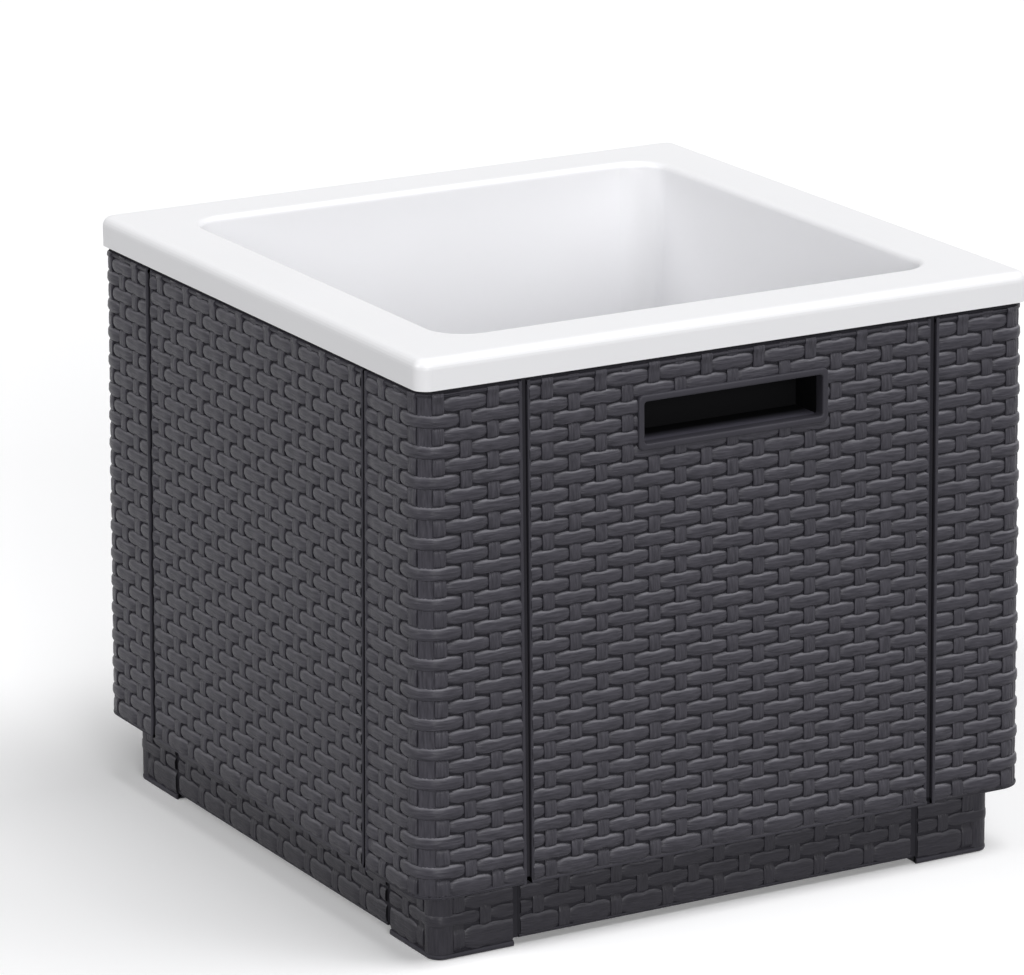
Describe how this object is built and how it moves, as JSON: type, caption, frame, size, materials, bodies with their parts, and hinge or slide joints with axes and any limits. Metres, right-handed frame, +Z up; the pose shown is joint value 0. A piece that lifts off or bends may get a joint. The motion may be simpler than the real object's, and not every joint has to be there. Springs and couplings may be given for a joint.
{
  "type": "cooler stool",
  "caption": "Square outdoor cooler stool: moulded woven walls on a recessed plinth with hand grips, and an insulated white tub that lifts out, with a drain and plug.",
  "frame": {"origin": "on the floor, under the middle of the stool", "axes": "+Z up, +Y away from the wall that shows its hand grip in the picture, +X to the right of that wall"},
  "size_m": [0.4206, 0.4206, 0.365],
  "materials": {
    "woven_graphite": "satin moulded weave with a fine lengthwise grain",
    "plain_graphite": "satin, lightly grained",
    "white_plastic": "satin gloss",
    "bead_foam": "expanded bead foam",
    "black_rubber": "smooth",
    "screw_steel": "zinc plated"
  },
  "bodies": {
    "shell": {"corner_post_front_left": "woven_graphite", "corner_post_front_right": "woven_graphite", "corner_post_back_left": "woven_graphite", "corner_post_back_right": "woven_graphite", "front_panel": "woven_graphite", "back_panel": "woven_graphite", "left_panel": "woven_graphite", "right_panel": "woven_graphite", "front_grip_cup": "plain_graphite", "back_grip_cup": "plain_graphite", "floor_pan": "plain_graphite", "base_screws": "screw_steel", "foam_base": "bead_foam", "foam_front": "bead_foam", "foam_back": "bead_foam", "foam_left": "bead_foam", "foam_right": "bead_foam"},
    "tub": {"inner_tub": "white_plastic", "drain_spigot": "white_plastic", "drain_gasket": "black_rubber", "drain_nut": "white_plastic"},
    "plug": {"drain_plug": "white_plastic", "plug_seal": "black_rubber"}
  },
  "joints": [
    {"name": "tub_lift", "type": "slide", "parent": "shell", "child": "tub", "axis": [0, 0, 1], "range_m": [0, 0.36]},
    {"name": "plug_pull", "type": "slide", "parent": "tub", "child": "plug", "axis": [0, 0, 1], "range_m": [0, 0.06]}
  ]
}
